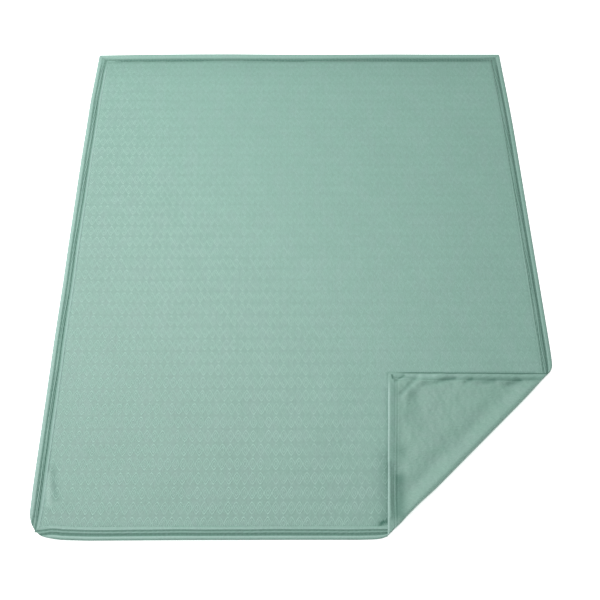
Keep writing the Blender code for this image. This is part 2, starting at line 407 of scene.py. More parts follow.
@dataclass
class Hem:
    """The hem all round, from each side's section.

    Attributes:
        plan: The outline.
        rim: Radius of the turned edge.
        outer_row: Distance of the first row of stitching from the edge.
        inner_row: Distance of the second row.
        face_leg: Where the binding ends on the face.
        back_leg: Where it ends on the back.
        pucker_pitch: Distance between puckers along the band.
        pucker_height: Half their height.
        mitre_blend: How far from a mitre the two sides' sections blend.
        sunk: How far below the field the binding's inner edge is drawn.
        wander: Amounts by which the rows' spread wanders, each with its angle a metre.
        back_gap: Height of the under side above the floor.
        back_wave: Half the height of its slow waves.
        back_pitch: Their length.
    """

    plan: Plan
    rim: float = 0.0036
    outer_row: dict[Side, float] = field(
        default_factory=lambda: {Side.LEFT: 0.018, Side.RIGHT: 0.020, Side.HEAD: 0.026, Side.FOOT: 0.018}
    )
    inner_row: dict[Side, float] = field(
        default_factory=lambda: {Side.LEFT: 0.030, Side.RIGHT: 0.0385, Side.HEAD: 0.040, Side.FOOT: 0.0305}
    )
    face_leg: float = 0.0455
    back_leg: float = 0.0380
    pucker_pitch: float = 0.024
    pucker_height: float = 0.0012
    mitre_blend: float = 0.09
    sunk: float = 0.0004
    wander: tuple[tuple[float, float], ...] = ((0.012, 17.0), (0.008, 41.0))
    back_gap: float = 0.0008
    back_wave: float = 0.0003
    back_pitch: float = 0.034

    def spread(self, side: Side, run: Array) -> Array:
        """How much further in, or less, a side's rows lie.

        Args:
            side: The side.
            run: Distances along the side.

        Returns:
            The factor on the rows' insets.
        """
        factor = SECTIONS[side].spread.at(run)
        for amount, rate in self.wander:
            factor = factor + amount * np.sin(run * rate)
        return factor

    def mixed(self, side: Side, run: Array, inset: Array, read: Callable[[Section], Curve]) -> Array:
        """A curve of the section, which turns into the mean of two sides' at the mitre between them.

        Args:
            side: The side.
            run: Distances along the side.
            inset: Distances in from the straight edge.
            read: Which curve of a section.

        Returns:
            The curve's values.
        """
        length = self.plan.side_length(side)
        own = read(SECTIONS[side]).at(inset / self.spread(side, run))
        ends = ((run, side.preceding), (length - run, side.following))
        value = own
        for distance, other in ends:
            share = 0.5 * smoothstep(self.mitre_blend, 0.0, distance - inset)
            value = value + share * (read(SECTIONS[other]).at(inset) - own)
        return value

    def pucker_wave(self, side: Side, run: Array, inset: Array) -> Array:
        """The oblique puckers that the two rows draw up between them, from -1 to 1.

        Args:
            side: The side.
            run: Distances along the side.
            inset: Distances in from the straight edge.

        Returns:
            The wave.
        """
        section = SECTIONS[side]
        inset = inset / self.spread(side, run)
        outer, inner = self.outer_row[side], self.inner_row[side]
        middle = 0.5 * (outer + inner)
        drift = 0.35 * np.sin(run * 11.0) + 0.25 * np.sin(run * 27.0 + 1.0)
        phase = (run - section.lean * (inset - middle)) / self.pucker_pitch + drift
        uneven = 0.7 + 0.3 * np.sin(run * 19.0 + 0.7)
        length = self.plan.side_length(side)
        ends = smoothstep(0.03, 0.10, run) * smoothstep(length - 0.03, length - 0.10, run)
        band = smoothstep(outer - 0.001, outer + 0.003, inset)
        band = band * smoothstep(inner + 0.003, inner - 0.001, inset)
        flange = 0.3 * bump(0.45 * outer, 0.25 * outer, inset)
        wave = np.sin(2.0 * math.pi * phase)
        return section.puckers * uneven * ends * (band + flange) * (0.75 * wave + 0.25 * wave**3)

    def face_height(self, side: Side, run: Array, inset: Array, field_height: Array) -> Array:
        """Height of the hem's upper surface, from the rim to where it meets the field.

        Args:
            side: The side.
            run: Distances along the side.
            inset: Distances in from the straight edge.
            field_height: Height of the face cloth's field there.

        Returns:
            Heights.
        """
        height = self.mixed(side, run, inset, lambda section: section.height)
        height = height + self.pucker_height * self.pucker_wave(side, run, inset)
        settle = smoothstep(self.face_leg - 0.004, self.face_leg, inset)
        return height + (field_height - self.sunk - height) * settle

    def back_height(self, side: Side, run: Array, inset: Array) -> Array:
        """Height of the hem's under surface above the floor.

        Args:
            side: The side.
            run: Distances along the side.
            inset: Distances in from the straight edge.

        Returns:
            Heights.
        """
        row = self.inner_row[side] * self.spread(side, run)
        drawn = 0.0012 * bump(row, 0.0014, inset)
        lifted = 0.0005 * smoothstep(0.012, 0.004, inset)
        waves = np.sin(2.0 * math.pi * (run + 1.6 * inset) / self.back_pitch + 3.0 * np.sin(run * 9.0))
        return self.back_gap + drawn + lifted + self.back_wave * waves * bump(0.018, 0.007, inset)

    def height(self, side: Side, run: Array, inset: Array, turn: Array, field_height: Array) -> Array:
        """Height of the strip all the way round its edge.

        Args:
            side: The side.
            run: Distances along the side.
            inset: Distances in from the straight edge.
            turn: The place round the rim, 1 on the face and -1 on the back.
            field_height: Height of the face cloth's field there.

        Returns:
            Heights.
        """
        face = self.face_height(side, run, inset, field_height)
        back = self.back_height(side, run, inset)
        return 0.5 * (face + back) + 0.5 * (face - back) * turn

    def shade(self, side: Side, run: Array, inset: Array, turn: Array) -> Array:
        """The cloth's painted light: above 0 shade where it is drawn in, below 0 a highlight where plump and
        pale.

        Args:
            side: The side.
            run: Distances along the side.
            inset: Distances in from the straight edge.
            turn: The place round the rim, 1 on the face and -1 on the back.

        Returns:
            From -1 to 1.
        """
        dashes = 0.90 + 0.10 * np.sin(2.0 * math.pi * run / 0.0135 + 2.0 * np.sin(run * 21.0))
        face = self.mixed(side, run, inset, lambda section: section.shade) * dashes
        wave = self.pucker_wave(side, run, inset)
        # Painted shade in the puckers' valleys and a painted highlight on their crests.
        face = face + 1.8 * np.maximum(-wave, 0.0) ** 2 - 0.35 * np.maximum(wave, 0.0)
        back = self.mixed(side, run, inset, lambda section: section.back_shade)
        upward = smoothstep(-0.6, 0.6, turn)
        return np.clip(back + (face - back) * upward, -1.0, 1.0)


@dataclass(frozen=True)
class Crease:
    """A soft ridge, or a valley where its height is below 0, along a straight line in plan.

    Attributes:
        start: One end.
        end: The other.
        width: Its standard deviation across the line.
        height: Its height.
    """

    start: tuple[float, float]
    end: tuple[float, float]
    width: float
    height: float

    def at(self, x: Array, y: Array) -> Array:
        """The crease's height.

        Args:
            x: Plan position across.
            y: Plan position along.

        Returns:
            Heights, which fade beyond the line's ends.
        """
        start, end = np.array(self.start), np.array(self.end)
        line = end - start
        share = ((x - start[0]) * line[0] + (y - start[1]) * line[1]) / (line @ line)
        nearest = np.clip(share, 0.0, 1.0)
        off = np.hypot(x - start[0] - nearest * line[0], y - start[1] - nearest * line[1])
        return self.height * bump(0.0, self.width, off)


def summed(creases: Sequence[Crease], x: Array, y: Array) -> Array:
    """The heights of several creases together, at plan positions."""
    return sum(crease.at(x, y) for crease in creases)


@dataclass
class Ground:
    """Heights of the two cloths' fields as they lie flat.

    Attributes:
        face_level: Height of the face cloth.
        back_level: Height of the back cloth.
        swell: Half the height of the face's slow waves.
        lowest: The least height that a valley of the face comes down to.
        softness: How gently it levels off there.
        creases: Single ridges and valleys of the face.
        shades: Lines of painted shade on the face, or where below 0, of painted highlight.
    """

    face_level: float = 0.0056
    back_level: float = 0.0004
    swell: float = 0.0007
    lowest: float = 0.0026
    softness: float = 0.0004
    creases: tuple[Crease, ...] = (
        Crease((-0.841, -0.86), (-0.815, -0.965), 0.007, -0.0030),
        Crease((-0.858, -0.88), (-0.842, -0.985), 0.009, 0.0024),
        Crease((0.236, -1.062), (0.276, -1.030), 0.006, -0.0032),
        Crease((0.246, -1.074), (0.280, -1.050), 0.006, 0.0018),
        Crease((0.292, -0.83), (0.284, -1.03), 0.017, -0.0026),
    )
    # Painted shadow beside and under the turned corner's edges, painted shade in creases, a painted highlight
    # on one ridge.
    shades: tuple[Crease, ...] = (
        Crease((0.297, -0.56), (0.287, -0.82), 0.0045, 0.22),
        Crease((0.286, -0.84), (0.281, -1.04), 0.0055, 0.45),
        Crease((0.276, -0.80), (0.268, -1.02), 0.020, 0.16),
        Crease((0.240, -1.072), (0.254, -1.046), 0.0032, 0.95),
        Crease((0.254, -1.046), (0.283, -1.034), 0.0042, 0.95),
        Crease((0.262, -1.062), (0.282, -1.052), 0.007, 0.50),
        Crease((0.30, -0.4995), (0.83, -0.5010), 0.0028, 0.45),
        Crease((-0.843, -0.86), (-0.817, -0.965), 0.0050, 0.34),
        Crease((-0.856, -0.87), (-0.839, -0.985), 0.0060, -0.55),
    )

    def face(self, x: Array, y: Array) -> Array:
        """Height of the face cloth's field.

        Args:
            x: Plan position across.
            y: Plan position along.

        Returns:
            Heights.
        """
        height = self.face_level + self.swell * ripples(x, y, 0.55, seed=4)
        height = height + 0.35 * self.swell * ripples(x, y, 0.16, seed=11)
        height = height + summed(self.creases, x, y)
        return self.lowest + np.logaddexp(0.0, (height - self.lowest) / self.softness) * self.softness


# The fold


@dataclass
class Fold:
    """The corner's fold: from flat positions beyond the fold line to where they lie turned over.

    Plan positions are also read as s, along the fold line from its middle, and t, outward from it.

    Attributes:
        middle: The fold line's middle, in plan.
        height: The hinge's height.
        axis: Unit vector along the line, towards the right side.
        reach: Half the fold line's length.
        narrowing: How much shorter the turned cloth is along the line.
        sidestep: How far it has crept along the line.
        gather: How much shorter it is across the line.
        turn_out: How far the cloth's turn stands out past the hinge.
        crest: How far the turned cloth swells up beside the fold.
        right_pinch: How far, and over what length, the lying hem is drawn in at the fold's right end.
        left_pinch: The same at its left end.
        pinch_width: How far in from the edge that is felt.
        slant: How far past the fold line a unit along a side goes.
        creases: Single ridges and valleys of the turned corner.
        shades: Lines of painted shade on it, in its valleys, or where below 0, of painted highlight.
    """

    middle: Array
    height: float
    axis: Array
    reach: float = 0.4455
    narrowing: float = 0.944
    sidestep: float = -0.0095
    gather: float = 0.899
    turn_out: Curve = Curve(
        (-0.446, -0.405, -0.389, -0.367, -0.333, -0.273, -0.205, 0.27, 0.32, 0.366, 0.40, 0.446),
        (0.0002, 0.0004, 0.003, 0.003, 0.001, 0.002, 0.0062, 0.0062, 0.0054, 0.0030, 0.0006, 0.0002),
        0.008,
    )
    crest: Curve = Curve(
        (-0.01, 0.0, 0.004, 0.010, 0.020, 0.030, 0.040, 0.050, 0.060, 0.075, 0.090, 0.110, 0.150, 0.25, 0.45),
        (
            0.0086, 0.0088, 0.0097, 0.0094, 0.0070, 0.0042, 0.0014, -0.0006, -0.0014, -0.0012, -0.0004,
            0.0002, 0.0002, 0.0, 0.0,
        ),
        0.003,
    )
    right_pinch: tuple[tuple[float, float], ...] = ((0.0135, 0.0055), (0.0050, 0.045))
    left_pinch: tuple[tuple[float, float], ...] = ((0.0080, 0.006), (0.0060, 0.014))
    pinch_width: float = 0.050
    slant: float = 0.71
    creases: tuple[Crease, ...] = (
        Crease((0.410, -0.516), (0.343, -0.588), 0.0060, -0.0040),
        Crease((0.362, -0.512), (0.331, -0.535), 0.0045, -0.0026),
        Crease((0.500, -0.516), (0.425, -0.534), 0.011, 0.0022),
        Crease((0.425, -0.534), (0.366, -0.585), 0.013, 0.0034),
        Crease((0.366, -0.585), (0.352, -0.660), 0.013, 0.0030),
        Crease((0.403, -0.588), (0.400, -0.680), 0.020, -0.0022),
        Crease((0.420, -0.553), (0.470, -0.540), 0.009, -0.0020),
        Crease((0.327, -0.72), (0.326, -0.86), 0.017, -0.0026),
        Crease((0.320, -0.86), (0.316, -1.00), 0.017, -0.0042),
        Crease((0.289, -0.84), (0.284, -1.03), 0.005, 0.0036),
        Crease((0.480, -0.540), (0.540, -0.522), 0.007, -0.0032),
        Crease((0.575, -0.545), (0.60, -0.528), 0.006, -0.0024),
        Crease((0.62, -0.552), (0.68, -0.536), 0.008, -0.0026),
        Crease((0.72, -0.556), (0.77, -0.535), 0.008, -0.0036),
        Crease((0.79, -0.556), (0.83, -0.538), 0.007, -0.0030),
        Crease((0.55, -0.575), (0.62, -0.566), 0.012, 0.0012),
        Crease((0.44, -0.72), (0.50, -0.64), 0.022, -0.0012),
        Crease((0.40, -0.80), (0.46, -0.76), 0.020, 0.0010),
    )
    # Painted shade in the turned corner's valleys, creases and bands, and one painted highlight.
    shades: tuple[Crease, ...] = (
        Crease((0.332, -0.57), (0.326, -0.80), 0.016, 0.20),
        Crease((0.328, -0.80), (0.320, -0.88), 0.018, 0.18),
        Crease((0.318, -0.90), (0.312, -1.02), 0.017, 0.58),
        Crease((0.345, -0.923), (0.719, -0.561), 0.017, 0.09),
        Crease((0.60, -0.534), (0.82, -0.530), 0.009, 0.24),
        Crease((0.410, -0.516), (0.345, -0.584), 0.0040, 0.30),
        Crease((0.362, -0.512), (0.331, -0.533), 0.0030, 0.50),
        Crease((0.318, -0.512), (0.320, -0.524), 0.0026, 0.80),
        Crease((0.482, -0.537), (0.540, -0.523), 0.0055, 0.45),
        Crease((0.575, -0.540), (0.60, -0.526), 0.0045, 0.35),
        Crease((0.64, -0.545), (0.68, -0.534), 0.006, 0.25),
        Crease((0.73, -0.550), (0.77, -0.534), 0.007, 0.35),
        Crease((0.420, -0.553), (0.470, -0.540), 0.005, 0.20),
        Crease((0.410, -0.519), (0.470, -0.517), 0.008, -0.32),
        Crease((0.394, -0.590), (0.398, -0.690), 0.016, 0.12),
    )

    @classmethod
    def from_joint(cls, joint: dict[str, Any]) -> "Fold":
        """The fold on a packed hinge."""
        axis = np.array(joint["axis"][:2])
        return cls(np.array(joint["pos_m"][:2]), joint["pos_m"][2], axis / np.linalg.norm(axis))

    @property
    def outward(self) -> Array:
        """Unit vector in plan from the fold line towards the corner."""
        return np.array([self.axis[1], -self.axis[0]])

    def lengthways(self, x: Array, y: Array) -> Array:
        """Distance along the fold line, s."""
        return (x - self.middle[0]) * self.axis[0] + (y - self.middle[1]) * self.axis[1]

    def beyond(self, x: Array, y: Array) -> Array:
        """Distance past the fold line, t."""
        return (x - self.middle[0]) * self.outward[0] + (y - self.middle[1]) * self.outward[1]

    def plan_point(self, s: Array, t: Array) -> tuple[Array, Array]:
        """Plan positions from distances along and past the fold line.

        Args:
            s: Distances along.
            t: Distances past.

        Returns:
            Plan positions across and along.
        """
        x = self.middle[0] + s * self.axis[0] + t * self.outward[0]
        y = self.middle[1] + s * self.axis[1] + t * self.outward[1]
        return x, y

    def lift(self, x: Array, y: Array) -> Array:
        """How far the turned corner's upper surface stands above a plain half turn.

        Args:
            x: Plan position across, as it lies turned over.
            y: Plan position along.

        Returns:
            Heights.
        """
        back = -self.beyond(x, y)
        along = self.lengthways(x, y) / self.reach
        inside = smoothstep(0.97, 0.66, np.abs(along))
        swell = self.crest.at(back) * inside
        wrinkles = summed(self.creases, x, y)
        waves = 0.0011 * ripples(x, y, 0.16, seed=23) + 0.0005 * ripples(x, y, 0.045, seed=31)
        steady = smoothstep(0.0, 0.04, back)
        return swell + steady * (wrinkles + waves * (0.35 + 0.65 * inside))

    def turned(self, points: Array) -> Array:
        """Flat positions of the corner, turned over.

        Args:
            points: Positions, one a row, all past the fold line.

        Returns:
            Positions as they lie at rest.
        """
        s = self.lengthways(points[:, 0], points[:, 1])
        t = self.beyond(points[:, 0], points[:, 1])
        x, y = self.plan_point(self.narrowing * s + self.sidestep, -self.gather * t)
        upper = np.clip((self.height - points[:, 2]) / self.height, 0.0, 1.0)
        z = 2.0 * self.height - points[:, 2] + upper * self.lift(x, y)
        return np.stack([x, y, z], axis=1)

    def turning(self, points: Array, steps: int) -> Array:
        """The cloth between positions on the fold line and where they lie turned over.

        It goes round half an ellipse that stands out past the hinge.

        Args:
            points: Flat positions on the fold line, one a row.
            steps: How many positions to put on the way, both ends among them.

        Returns:
            Positions: steps, by points, by 3.
        """
        there = self.turned(points)
        half = np.linspace(0.0, math.pi, steps)[:, None]
        share = half / math.pi
        s = self.lengthways(points[:, 0], points[:, 1])
        depth = (self.height - points[:, 2]) / self.height
        out = self.turn_out.at(s) * depth
        x = points[:, 0] + (there[:, 0] - points[:, 0]) * share
        y = points[:, 1] + (there[:, 1] - points[:, 1]) * share
        rise = 0.5 * (1.0 - np.cos(half))
        z = points[:, 2] + (there[:, 2] - points[:, 2]) * rise
        x = x + out * np.sin(half) * self.outward[0]
        y = y + out * np.sin(half) * self.outward[1]
        return np.stack([x, y, z], axis=2)

    def pinched(self, points: Array) -> Array:
        """Flat positions of the lying part, drawn in where the hem meets the fold's two ends.

        Args:
            points: Positions, one a row.

        Returns:
            Positions.
        """
        s = self.lengthways(points[:, 0], points[:, 1])
        t = self.beyond(points[:, 0], points[:, 1])
        back = np.maximum(-t, 0.0) / self.slant
        right = sum(depth * np.exp(-back / length) for depth, length in self.right_pinch)
        left = sum(depth * np.exp(-back / length) for depth, length in self.left_pinch)
        edge = self.reach - back * self.axis[1] * np.sign(s)
        near = np.exp(-((np.maximum(edge - np.abs(s), 0.0) / self.pinch_width) ** 2))
        draw = np.where(s > 0.0, right, left) * near
        x, y = self.plan_point(s - np.sign(s) * draw, t)
        return np.stack([x, y, points[:, 2]], axis=1)


# Meshes


@dataclass
class Cloth:
    """A surface under construction: points in rows, and the quads between them.

    Attributes:
        points: Positions, one a row.
        quads: Indices of each quad's corners.
    """

    points: Array
    quads: Array

    @classmethod
    def grid(cls, points: Array, closed: bool = False, flip: bool = False) -> "Cloth":
        """A surface from a grid of points.

        Args:
            points: Rows, by columns, by 3.
            closed: Whether the last column joins the first.
            flip: Whether the faces look the other way.

        Returns:
            The surface.
        """
        rows, columns = points.shape[:2]
        index = np.arange(rows * columns).reshape(rows, columns)
        if closed:
            index = np.concatenate([index, index[:, :1]], axis=1)
        corners = [index[:-1, :-1], index[:-1, 1:], index[1:, 1:], index[1:, :-1]]
        quads = np.stack([corner.ravel() for corner in corners], axis=1)
        return cls(points.reshape(-1, 3), quads[:, ::-1] if flip else quads)

    def made(self, name: str) -> bpy.types.Object:
        """The surface as an object in the scene, shaded smooth.

        Args:
            name: The object's name.

        Returns:
            The object.
        """
        mesh = bpy.data.meshes.new(name)
        count, width = self.quads.shape
        mesh.vertices.add(len(self.points))
        mesh.vertices.foreach_set("co", self.points.astype(np.float32).ravel())
        mesh.loops.add(count * width)
        mesh.loops.foreach_set("vertex_index", self.quads.astype(np.int32).ravel())
        mesh.polygons.add(count)
        mesh.polygons.foreach_set("loop_start", np.arange(0, count * width, width, dtype=np.int32))
        mesh.update(calc_edges=True)
        mesh.validate()
        mesh.shade_smooth()
        made = bpy.data.objects.new(name, mesh)
        bpy.context.scene.collection.objects.link(made)
        return made


def positions(piece: bpy.types.Object) -> Array:
    """A mesh's vertex positions.

    Args:
        piece: The object.

    Returns:
        Positions, one a row.
    """
    read = np.empty(len(piece.data.vertices) * 3, np.float32)
    piece.data.vertices.foreach_get("co", read)
    return read.reshape(-1, 3).astype(float)


def move_to(piece: bpy.types.Object, points: Array) -> None:
    """Puts a mesh's vertices at positions."""
    piece.data.vertices.foreach_set("co", points.astype(np.float32).ravel())
    piece.data.update()


def note(piece: bpy.types.Object, name: str, values: Array) -> None:
    """Writes values on a mesh's vertices, for its material to read.

    Args:
        piece: The object.
        name: The attribute's name.
        values: One number, or three, for each vertex.
    """
    kind, slot = ("FLOAT", "value") if values.ndim == 1 else ("FLOAT_VECTOR", "vector")
    attribute = piece.data.attributes.new(name, kind, "POINT")
    attribute.data.foreach_set(slot, values.astype(np.float32).ravel())


def cloth_area(piece: bpy.types.Object) -> float:
    """Area of a mesh's surface.

    Args:
        piece: The object.

    Returns:
        Square metres.
    """
    areas = np.empty(len(piece.data.polygons), np.float32)
    piece.data.polygons.foreach_get("area", areas)
    return float(areas.sum())


def cut(piece: bpy.types.Object, fold: Fold, keep_corner: bool, at: float = 0.0) -> None:
    """Cuts a flat mesh along a line beside the fold line and keeps one side.

    Args:
        piece: The object.
        fold: The fold.
        keep_corner: Whether the corner's side stays.
        at: How far past the fold line the cut is.
    """
    shape = bmesh.new()
    shape.from_mesh(piece.data)
    x, y = fold.plan_point(0.0, at)
    bmesh.ops.bisect_plane(
        shape,
        geom=shape.verts[:] + shape.edges[:] + shape.faces[:],
        dist=1e-6,
        plane_co=(x, y, 0.0),
        plane_no=(*fold.outward, 0.0),
        clear_inner=keep_corner,
        clear_outer=not keep_corner,
    )
    shape.to_mesh(piece.data)
    shape.free()
    piece.data.shade_smooth()


def thicken(piece: bpy.types.Object, thickness: float) -> None:
    """Gives a surface the thickness of its cloth, inward from its faces.

    Args:
        piece: The object.
        thickness: The cloth's thickness.
    """
    solidify = piece.modifiers.new("thickness", "SOLIDIFY")
    solidify.thickness = thickness
    solidify.offset = -1.0
    solidify.use_even_offset = False
    solidify.use_rim = True


# Shaders

MILLIMETRE = 0.001
SHEEN_ROUGHNESS = 0.5
SPECULAR_LEVEL = 0.85


class Sock:
    """A shader socket that takes part in Python expressions, each of which adds a Math node."""

    def __init__(self, graph: "Graph", socket: bpy.types.NodeSocket) -> None:
        """Keeps the socket and the graph that it is part of."""
        self.graph = graph
        self.socket = socket

    def __add__(self, other: Any) -> "Sock":
        """This plus another."""
        return self.graph.maths("ADD", self, other)

    def __radd__(self, other: Any) -> "Sock":
        """Another plus this."""
        return self.graph.maths("ADD", other, self)

    def __sub__(self, other: Any) -> "Sock":
        """This less another."""
        return self.graph.maths("SUBTRACT", self, other)

    def __rsub__(self, other: Any) -> "Sock":
        """Another less this."""
        return self.graph.maths("SUBTRACT", other, self)

    def __mul__(self, other: Any) -> "Sock":
        """This times another."""
        return self.graph.maths("MULTIPLY", self, other)

    def __rmul__(self, other: Any) -> "Sock":
        """Another times this."""
        return self.graph.maths("MULTIPLY", other, self)

    def __truediv__(self, other: Any) -> "Sock":
        """This over another."""
        return self.graph.maths("DIVIDE", self, other)

    def __rtruediv__(self, other: Any) -> "Sock":
        """Another over this."""
        return self.graph.maths("DIVIDE", other, self)

    def __pow__(self, other: Any) -> "Sock":
        """This to the power of another."""
        return self.graph.maths("POWER", self, other)

    def __rpow__(self, other: Any) -> "Sock":
        """Another to the power of this."""
        return self.graph.maths("POWER", other, self)

    def __abs__(self) -> "Sock":
        """This without its sign."""
        return self.graph.maths("ABSOLUTE", self)

    def fraction(self) -> "Sock":
        """The value's part after the point."""
        return self.graph.maths("FRACT", self)

    def sine(self) -> "Sock":
        """The value's sine."""
        return self.graph.maths("SINE", self)

    def peak(self, centre: float, width: float) -> "Sock":
        """A tent of height 1 and this half width."""
        return self.graph.maths("MAXIMUM", 1.0 - abs(self - centre) / width, 0.0)

    def between(self, low: float, high: float) -> "Sock":
        """A smooth rise from 0 to 1."""
        inputs = {"Value": self, "From Min": low, "From Max": high}
        return self.graph.node("ShaderNodeMapRange", {"interpolation_type": "SMOOTHSTEP"}, inputs)


class Graph:
    """A material's node tree, built by calls and by expressions on its sockets."""

    def __init__(self, name: str) -> None:
        """Starts a material with its Principled shader."""
        self.material = bpy.data.materials.new(name)
        self.material.use_nodes = True
        self.tree = self.material.node_tree
        self.shader = self.tree.nodes["Principled BSDF"]

    def node(
        self,
        kind: str,
        settings: dict[str, Any] | None = None,
        inputs: dict[str | int, Any] | None = None,
        output: str | int = 0,
    ) -> Sock:
        """Adds one node.

        Args:
            kind: Its type.
            settings: Its properties.
            inputs: Values or sockets for its inputs.
            output: The output to return.

        Returns:
            The output's socket.
        """
        made = self.tree.nodes.new(kind)
        for name, value in (settings or {}).items():
            setattr(made, name, value)
        for name, value in (inputs or {}).items():
            self.feed(made.inputs[name], value)
        return Sock(self, made.outputs[output])

    def feed(self, entry: bpy.types.NodeSocket, value: Any) -> None:
        """Gives an input its value or its link.

        Args:
            entry: The input.
            value: A socket, a number, or a tuple.
        """
        if isinstance(value, Sock):
            self.tree.links.new(value.socket, entry)
        else:
            entry.default_value = value

    def maths(self, operation: str, first: Any, second: Any = None) -> Sock:
        """Adds one Math node."""
        inputs = {0: first} if second is None else {0: first, 1: second}
        return self.node("ShaderNodeMath", {"operation": operation}, inputs)

    def blend_colours(self, share: Any, first: Any, second: Any) -> Sock:
        """Mixes two colours.

        Args:
            share: How much of the second, from 0 to 1.
            first: A colour.
            second: Another.

        Returns:
            The mixture.
        """
        colours = [(*value, 1.0) if isinstance(value, tuple) else value for value in (first, second)]
        settings = {"data_type": "RGBA", "clamp_factor": True}
        inputs = {0: share, 6: colours[0], 7: colours[1]}
        return self.node("ShaderNodeMix", settings, inputs, output=2)

    def scaled(self, colour: Any, tone: Sock) -> Sock:
        """A colour, a socket or a constant, made lighter or darker by a factor."""
        return self.node("ShaderNodeVectorMath", {"operation": "SCALE"}, {"Vector": colour, "Scale": tone})

    def flat_position(self) -> tuple[Sock, Sock, Sock]:
        """The place on the flat blanket, from the mesh, with its parts across and along.

        Returns:
            The whole, across and along.
        """
        flat = self.attribute("flat", "Vector")
        across, along = (self.node("ShaderNodeSeparateXYZ", None, {"Vector": flat}, axis) for axis in "XY")
        return flat, across, along

    def attribute(self, name: str, output: str = "Fac") -> Sock:
        """Reads one of the mesh's own attributes."""
        return self.node("ShaderNodeAttribute", {"attribute_name": name}, output=output)

    def noise(self, place: Sock, scale: float, detail: float = 3.0, roughness: float = 0.55) -> Sock:
        """Fractal noise."""
        inputs = {"Vector": place, "Scale": scale, "Detail": detail, "Roughness": roughness}
        return self.node("ShaderNodeTexNoise", None, inputs)

    def finish(self, colour: Sock, roughness: Any, height: Sock, sheen: float) -> bpy.types.Material:
        """Links the surface's look to the shader.

        Args:
            colour: Base colour.
            roughness: Roughness.
            height: Relief, in millimetres.
            sheen: The fuzz's weight.

        Returns:
            The material.
        """
        relief = {"Distance": MILLIMETRE, "Strength": 1.0, "Height": height}
        normal = self.node("ShaderNodeBump", None, relief)
        self.feed(self.shader.inputs["Base Color"], colour)
        self.feed(self.shader.inputs["Roughness"], roughness)
        self.feed(self.shader.inputs["Normal"], normal)
        self.shader.inputs["Sheen Weight"].default_value = sheen
        self.shader.inputs["Sheen Roughness"].default_value = SHEEN_ROUGHNESS
        self.shader.inputs["Specular IOR Level"].default_value = SPECULAR_LEVEL
        return self.material


